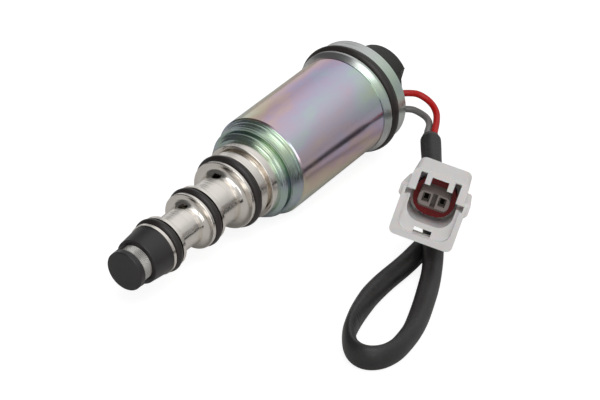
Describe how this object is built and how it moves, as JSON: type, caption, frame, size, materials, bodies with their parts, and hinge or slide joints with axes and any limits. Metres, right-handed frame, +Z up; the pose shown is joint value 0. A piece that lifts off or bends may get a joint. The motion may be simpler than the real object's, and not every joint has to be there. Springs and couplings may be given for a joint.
{
  "type": "compressor control valve",
  "caption": "Electric control valve for a car air-conditioning compressor: stepped body with ring seals, plated solenoid, nose strainer and a sleeved lead with a sealed connector",
  "frame": {"origin": "on the surface that the valve lies on, under the middle of the valve without its lead", "axes": "+Z up; the valve lies along Y with its nose towards -Y and its lead on the +X side"},
  "size_m": [0.086, 0.1113, 0.0318],
  "materials": {
    "zinc_plating": "iridescent passivated zinc plating",
    "bright_turned": "bright turned",
    "black_rubber": "satin",
    "black_moulding": "fine grain",
    "wire_mesh": "woven",
    "red_insulation": "gloss",
    "grey_insulation": "gloss",
    "sleeve": "soft satin",
    "light_moulding": "fine grain",
    "grey_moulding": "fine grain",
    "red_rubber": "satin",
    "steel": "ground",
    "natural_moulding": "plain",
    "enamelled_copper": "enamelled",
    "tinned_brass": "tinned"
  },
  "bodies": {
    "housing": {"strainer_cap": "black_moulding", "strainer_mesh": "wire_mesh", "valve_body": "bright_turned", "o_ring_front": "black_rubber", "o_ring_middle": "black_rubber", "o_ring_rear": "black_rubber", "front_yoke": "zinc_plating", "solenoid_can": "zinc_plating", "rear_flange": "zinc_plating", "flange_o_ring": "black_rubber", "rear_cap": "black_moulding", "red_lead": "red_insulation", "grey_lead": "grey_insulation", "lead_sleeve": "sleeve", "connector_housing": "light_moulding", "connector_seal": "red_rubber", "terminal_holder": "grey_moulding", "fixed_core": "steel", "core_seal_ring": "black_rubber", "guide_tube": "steel", "plunger_spring": "steel", "coil_bobbin": "natural_moulding", "coil_winding": "enamelled_copper", "coil_terminals": "tinned_brass", "contact_terminals": "tinned_brass", "wire_seals": "red_rubber", "red_lead_end": "red_insulation", "grey_lead_end": "grey_insulation"},
    "moving_valve": {"valve_rod": "steel", "plunger": "steel"}
  },
  "joints": [
    {"name": "valve_slide", "type": "slide", "parent": "housing", "child": "moving_valve", "axis": [0, -0.9989, -0.047], "range_m": [0, 0.0006], "stiffness_N_per_m": 500, "springref_m": -0.002, "deforming": ["plunger_spring"]}
  ]
}
